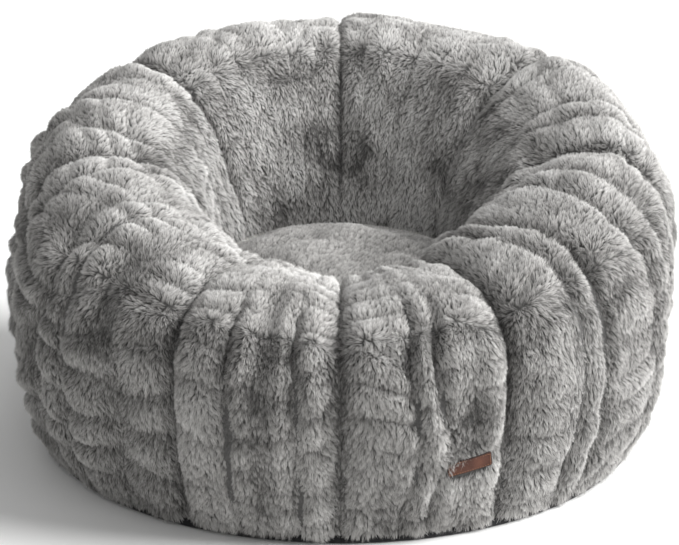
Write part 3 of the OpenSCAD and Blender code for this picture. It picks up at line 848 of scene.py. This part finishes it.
def seat_panel(tree, sockets, strand, fur, backing):
    """The round domed fur seat."""
    rings, spokes = 36, 120
    t = np.linspace(0.004, 1, rings)[:, None]
    a = np.linspace(0, 2 * math.pi, spokes, endpoint=False)[None, :]
    r = t * (SEAT_R - 0.002)
    x, y = r * np.cos(a), r * np.sin(a)
    crown = SEAT_TOP - SEAT_Z
    z = SEAT_Z - PILE_STANDS * 0.6 + (crown + 0.010) * np.cos(np.pi / 2 * t) ** 0.9 + 0 * a
    points = np.stack([x, y, z], -1)
    flat = points.reshape(-1, 3)
    lumps = soft_noise(flat, 0.075, 2.2).reshape(rings, spokes)
    fine = soft_noise(flat, 0.04, 8.4).reshape(rings, spokes)
    points[..., 2] += (0.010 * lumps + 0.005 * fine) * (1 - t ** 4) - 0.006 * t ** 8
    points = np.concatenate([points, points[:, :1]], axis=1)
    inner = points - np.array([0, 0, BACKING])
    mesh = closed_sheet("panel_seat", points.transpose(1, 0, 2)[::-1], inner.transpose(1, 0, 2)[::-1])
    panel = add_piece("panel_seat", mesh)
    panel.data.materials.append(backing)
    finish_soft(panel, "fur_seat")
    up = np.broadcast_to([0.25, 1.0, 0.0], points.shape)
    ones = np.ones(points.shape[:2])
    # painted light and shade: lighter on the seat's lumps and darker in its hollows
    shade = 0.5 * ones + 0.12 * (lumps + fine)[:, np.r_[0:spokes, 0]]
    grids = (np.ascontiguousarray(np.swapaxes(g, 0, 1)[::-1]) for g in (points, up, ones, ones, shade))
    patch = skin_patch("patch_seat", *grids)
    area = sum(p.area for p in patch.polygons)
    pile = grow_pile("pile_seat", patch, tree, sockets, strand, STRANDS["seat"] / area, 5)
    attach(pile, "root")


# ---- label ----------------------------------------------------------------------------------------

def on_label(x, y, lift):
    """A place on the label: x along it, y up it and lift off the fur, with the ring's own roundness."""
    along, rise, out = (np.array(v) for v in label_axes())
    sag = lift - x ** 2 / (2 * RING_R)
    return np.array(LABEL_MID) + x[..., None] * along + y[..., None] * rise + sag[..., None] * out


def leather_label(material):
    """A soft leather patch with rounded corners, pulled down a little along its stitching."""
    across, up = 61, 25
    corner = 0.003
    v = np.linspace(-1, 1, up)[None, :]
    y = v * LABEL_H / 2 + np.zeros((across, 1))
    into_corner = np.clip(np.abs(y) - (LABEL_H / 2 - corner), 0, corner)
    half = LABEL_W / 2 - corner + np.sqrt(corner ** 2 - into_corner ** 2)
    x = np.linspace(-1, 1, across)[:, None] * half
    to_edge = np.minimum(half - np.abs(x), LABEL_H / 2 - np.abs(y))
    rounded = LABEL_T * 0.35 * np.exp(-(to_edge / 0.0007) ** 2)
    sewn = 0.0004 * np.exp(-((to_edge - STITCH_IN) / 0.0008) ** 2)
    curl = 0.0008 * np.clip(y / LABEL_H + 0.5, 0, 1) ** 2 * np.sin(x * 120 + 0.6)
    flat = x.reshape(-1), y.reshape(-1)
    wrinkle = soft_noise(np.stack([*flat, 0 * flat[0]], -1), 0.009, 2.7).reshape(x.shape) * 0.0003
    top = on_label(x, y, LABEL_T / 2 - rounded - sewn + curl + wrinkle)
    under = on_label(x, y, -LABEL_T / 2 + rounded * 0.5 + curl + wrinkle)
    mesh = closed_sheet("leather_label", top, under)
    edge = np.exp(-(to_edge / 0.0012) ** 2).reshape(-1)
    mesh.attributes.new("edge", "FLOAT", "POINT").data.foreach_set("value", np.concatenate([edge, edge]))
    mesh.materials.append(material)
    label = add_piece("leather_label", mesh)
    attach(label, "root")
    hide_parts("label_patch")


def bar_faces(rings, sides):
    """The faces of a closed bar whose points come in rings of a number of sides."""
    faces = []
    for i in range(rings - 1):
        for j in range(sides):
            k = (j + 1) % sides
            faces.append((i * sides + j, i * sides + k, (i + 1) * sides + k, (i + 1) * sides + j))
    faces.append(tuple(range(sides))[::-1])
    faces.append(tuple(range((rings - 1) * sides, rings * sides)))
    return faces


def stitch():
    """One stitch: a short bar with five sides that goes in at both ends."""
    length, thick, sides = 0.0025, 0.00048, 5
    rings = ((-0.5, 0.25, -0.9), (-0.32, 1.0, 0.1), (0.0, 1.1, 0.35), (0.32, 1.0, 0.1), (0.5, 0.25, -0.9))
    points = []
    for place, size, rise in rings:
        for j in range(sides):
            a = 2 * math.pi * j / sides
            points.append((place * length, thick * size * math.cos(a), thick * (rise + size * math.sin(a))))
    return make_mesh("stitch", points, [face[::-1] for face in bar_faces(len(rings), sides)])


def repeat_tree(name, material):
    """Geometry Nodes that set copies of a piece along a path, turned with it and upright to it."""
    tree, sockets, given, done = new_group(name, (
        ("Geometry", "NodeSocketGeometry", None), ("Piece", "NodeSocketObject", None),
        ("Spacing", "NodeSocketFloat", None)))
    path = add(tree, "GeometryNodeMeshToCurve", {"Mesh": given["Geometry"]}).outputs["Curve"]
    even = add(tree, "GeometryNodeResampleCurve", {"Curve": path, "Length": given["Spacing"]}, mode="LENGTH")
    tangent = add(tree, "GeometryNodeInputTangent").outputs["Tangent"]
    upright = add(tree, "GeometryNodeInputNamedAttribute", {"Name": "upright"},
                  data_type="FLOAT_VECTOR").outputs["Attribute"]
    rotation = add(tree, "FunctionNodeAxesToRotation", {"Primary Axis": tangent, "Secondary Axis": upright},
                   primary_axis="X", secondary_axis="Z").outputs["Rotation"]
    piece = add(tree, "GeometryNodeObjectInfo", {"Object": given["Piece"]}).outputs["Geometry"]
    copies = add(tree, "GeometryNodeInstanceOnPoints", {"Points": even.outputs["Curve"], "Instance": piece,
                                                        "Rotation": rotation}).outputs["Instances"]
    finish_group(tree, copies, material, done)
    return tree, sockets


def repeated(name, piece_mesh, paths, spacing, material):
    """Copies of a piece along paths of (points, upright directions, closed), as one plain mesh."""
    piece = add_piece(name + "_one", piece_mesh)
    points, uprights, edges = [], [], []
    for path, up, closed in paths:
        first = len(points)
        points += [tuple(q) for q in path]
        uprights += [tuple(q) for q in up]
        count = len(path)
        edges += [(first + i, first + (i + 1) % count) for i in range(count if closed else count - 1)]
    mesh = bpy.data.meshes.new(name + "_path")
    mesh.from_pydata(points, edges, [])
    upright = mesh.attributes.new("upright", "FLOAT_VECTOR", "POINT")
    upright.data.foreach_set("vector", np.array(uprights).ravel())
    grower = add_piece(name + "_path", mesh)
    tree, sockets = repeat_tree(name + "_row", material)
    modifier = grower.modifiers.new("row", "NODES")
    modifier.node_group = tree
    modifier[sockets["Piece"]] = piece
    modifier[sockets["Spacing"]] = spacing
    result = grown_mesh(grower)
    bpy.data.objects.remove(piece)
    if "upright" in result.attributes:
        result.attributes.remove(result.attributes["upright"])
    result.name = name
    result.shade_smooth()
    return add_piece(name, result)


def label_stitching(material):
    """The stitches round the label, a little in from its edge."""
    half_w, half_h, corner = LABEL_W / 2 - STITCH_IN, LABEL_H / 2 - STITCH_IN, 0.0015
    x, y = [], []
    for turn, (sx, sy) in enumerate(((1, 1), (-1, 1), (-1, -1), (1, -1))):
        for a in np.radians(np.linspace(90 * turn, 90 * turn + 90, 5)):
            x.append(sx * (half_w - corner) + corner * math.cos(a))
            y.append(sy * (half_h - corner) + corner * math.sin(a))
    x, y = np.array(x), np.array(y)
    path = on_label(x, y, np.full(len(x), LABEL_T / 2 + 0.0001))
    out = np.tile(np.array(label_axes()[2]), (len(x), 1))
    stitching = repeated("label_stitching", stitch(), [(path, out, True)], STITCH_PITCH, material)
    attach(stitching, "root")
    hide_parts("label_stitches")


# ---- base cloth and zip ---------------------------------------------------------------------------

def base_cloth(material):
    """The black base: a flat disc of cloth whose edge turns up and is gathered into the fur's hem."""
    _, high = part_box("base_panel")
    edge_r, edge_h, corner, thick, gathered = high.x, high.z, 0.006, 0.0016, 0.0009
    radii = np.concatenate([np.linspace(0.0, edge_r - corner, 14)[1:], np.full(9, edge_r - corner)])
    turn = np.concatenate([np.zeros(13), np.linspace(10, 90, 9)])
    r = radii + corner * np.sin(np.radians(turn))
    z = corner * (1 - np.cos(np.radians(turn)))
    r = np.concatenate([r, np.full(4, edge_r)])
    z = np.concatenate([z, np.linspace(corner, edge_h, 5)[1:]])
    az = np.linspace(0, 2 * math.pi, 361)[:, None]
    gather = np.clip((z - 0.002) / edge_h, 0, 1) ** 1.2
    ripple = gathered * np.sin(az * 90 + 1.5 * np.sin(7 * az)) * gather
    outer_r = r[None, :] + ripple - gathered * gather
    outer = np.stack([outer_r * np.sin(az), -outer_r * np.cos(az), z + 0 * az], -1)
    tangent = np.gradient(np.stack([r, z], -1), axis=0)
    normal = unit(np.stack([-tangent[:, 1], tangent[:, 0]], -1)) * thick
    inner_r = outer_r + normal[None, :, 0]
    inner = np.stack([inner_r * np.sin(az), -inner_r * np.cos(az), z + normal[:, 1] + 0 * az], -1)
    mesh = closed_sheet("base_cloth", outer, inner)
    mesh.materials.append(material)
    cloth = add_piece("base_cloth", mesh)
    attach(cloth, "root")
    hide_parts("base_panel")


def zip_tooth():
    """One turn of a zip's coil: a bent bar of four sides that hooks towards the other tape."""
    wire, reach, rise, sides = 0.00032, 0.0017, 0.0008, 4
    spine = [(0.0, -reach / 2, -rise), (0.0, reach * 0.35, -rise), (0.0002, reach / 2, -rise * 0.3),
             (0.0003, reach / 2, rise * 0.3), (0.0005, reach * 0.35, rise), (0.0007, -reach / 2, rise)]
    points = []
    for i, p in enumerate(spine):
        before, after = Vector(spine[max(i - 1, 0)]), Vector(spine[min(i + 1, len(spine) - 1)])
        along = (after - before).normalized()
        side = along.cross(Vector((1, 0, 0))).normalized()
        for j in range(sides):
            a = 2 * math.pi * (j + 0.5) / sides
            points.append(Vector(p) + wire * (side * math.cos(a) + along.cross(side) * math.sin(a)))
    return make_mesh("zip_tooth", points, bar_faces(len(spine), sides))


def zip_coils(material):
    """The cover zip's two coils, a turn at a time along the tapes, hooking towards each other."""
    low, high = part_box("cover_zip_coils")
    r, z = high.y - ZIP_COIL / 2, (low.z + high.z) / 2
    away = (high.z - low.z) / 2 - ZIP_COIL / 2
    half_arc = math.asin(min(1.0, high.x / (r + ZIP_COIL / 2)))
    paths = []
    for side in (-1, 1):
        az = np.linspace(math.pi - half_arc, math.pi + half_arc, 200)[::side]
        path = np.stack([r * np.sin(az), -r * np.cos(az), np.full(len(az), z + side * away)], -1)
        out = np.stack([np.sin(az), -np.cos(az), 0 * az], -1)
        paths.append((path, out, False))
    coils = repeated("cover_zip_teeth", zip_tooth(), paths, ZIP_PITCH, material)
    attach(coils, "root")
    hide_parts("cover_zip_coils")


# ---- stage ----------------------------------------------------------------------------------------

TARGET = Vector((0, 0, 0.22))
ELEVATION = math.radians(18)
DISTANCE = 2.6
LENS, SENSOR = 95.6, 36      # millimetres
SHIFT_X, SHIFT_Y = -0.0016, -0.0015
FLOOR_HALF = 30
FLOOR_SUNK = 0.0005


def make_camera():
    """The camera, level across, in front of the chair and a little above it."""
    data = bpy.data.cameras.new("camera")
    data.lens = LENS
    data.sensor_width = SENSOR
    data.shift_x = SHIFT_X
    data.shift_y = SHIFT_Y
    camera = bpy.data.objects.new("camera", data)
    bpy.context.collection.objects.link(camera)
    back = Vector((0, -math.cos(ELEVATION), math.sin(ELEVATION)))
    camera.location = TARGET + back * DISTANCE
    camera.rotation_euler = (-back).to_track_quat("-Z", "Y").to_euler()
    bpy.context.scene.camera = camera


def spot_light(name, place, aim, cone, power):
    """A soft-edged spot with a cone in degrees."""
    data = bpy.data.lights.new(name, "SPOT")
    data.energy = power
    data.spot_size = math.radians(cone)
    data.spot_blend = 1.0
    data.shadow_soft_size = 0.3
    light = bpy.data.objects.new(name, data)
    bpy.context.collection.objects.link(light)
    light.location = place
    light.rotation_euler = (Vector(aim) - Vector(place)).to_track_quat("-Z", "Y").to_euler()


def sun_light(name, towards, strength, width):
    """A sun in the direction towards, as wide as width degrees."""
    data = bpy.data.lights.new(name, "SUN")
    data.energy = strength
    data.angle = math.radians(width)
    light = bpy.data.objects.new(name, data)
    bpy.context.collection.objects.link(light)
    light.rotation_euler = Vector(towards).to_track_quat("Z", "Y").to_euler()


def make_stage():
    """A pale floor and soft light, brightest from above on the right."""
    corners = [(x * FLOOR_HALF, y * FLOOR_HALF, 0) for x, y in ((-1, -1), (1, -1), (1, 1), (-1, 1))]
    floor = add_piece("floor", make_mesh("floor", corners, [(0, 1, 2, 3)]))
    material, _, shader = new_material("pale_floor")
    shader.inputs["Base Color"].default_value = linear("f4f4f3")
    shader.inputs["Roughness"].default_value = 0.6
    floor.data.materials.append(material)
    floor.location.z = -FLOOR_SUNK
    world = bpy.data.worlds.new("world")
    bpy.context.scene.world = world
    world.use_nodes = True
    background = world.node_tree.nodes["Background"].inputs
    background["Color"].default_value = (1, 1, 1, 1)
    background["Strength"].default_value = 0.5
    sun_light("key", towards=(2.8, -0.15, 1.7), strength=6.4, width=34)
    spot_light("well_fill", place=(0.1, -1.6, 2.3), aim=(0.03, 0.28, 0.40), cone=24, power=170)


bpy.context.scene.view_settings.view_transform = "Standard"
make_camera()
make_stage()
fur = rabbit_fur_pile()
backing = fur_backing()
strand = strand_blade()
tree, sockets = pile_tree(fur)
skin = Skin()
skin.relief, skin.shade = bumps(skin)
skin.displace(skin.relief)
puff(skin)
cover_panels(skin, tree, sockets, strand, fur, backing)
seat_panel(tree, sockets, strand, fur, backing)
bpy.data.objects.remove(strand)
leather_label(leather())
label_stitching(twisted_thread())
base_cloth(woven("black_oxford_polyester", "0b0b0c", "242426", 0.0012, 0.75))
zip_coils(nylon_coil())
lining = woven("off_white_polyester_lining", "cfcdc6", "f2f0ea", 0.0006, 0.8)
dress_nodes({"lining": lining, "satin": satin(), "zip_coil": nylon_coil(), "zip_metal": nickel_plate(),
             "foam": shredded_foam(),
             "zip_tape": woven("grey_zip_tape", "2c2c2e", "4d4d50", 0.0006, 0.7, twill=True),
             "liner_zip_tape": woven("off_white_zip_tape", "c9c7c1", "eeece6", 0.0006, 0.7, twill=True)})
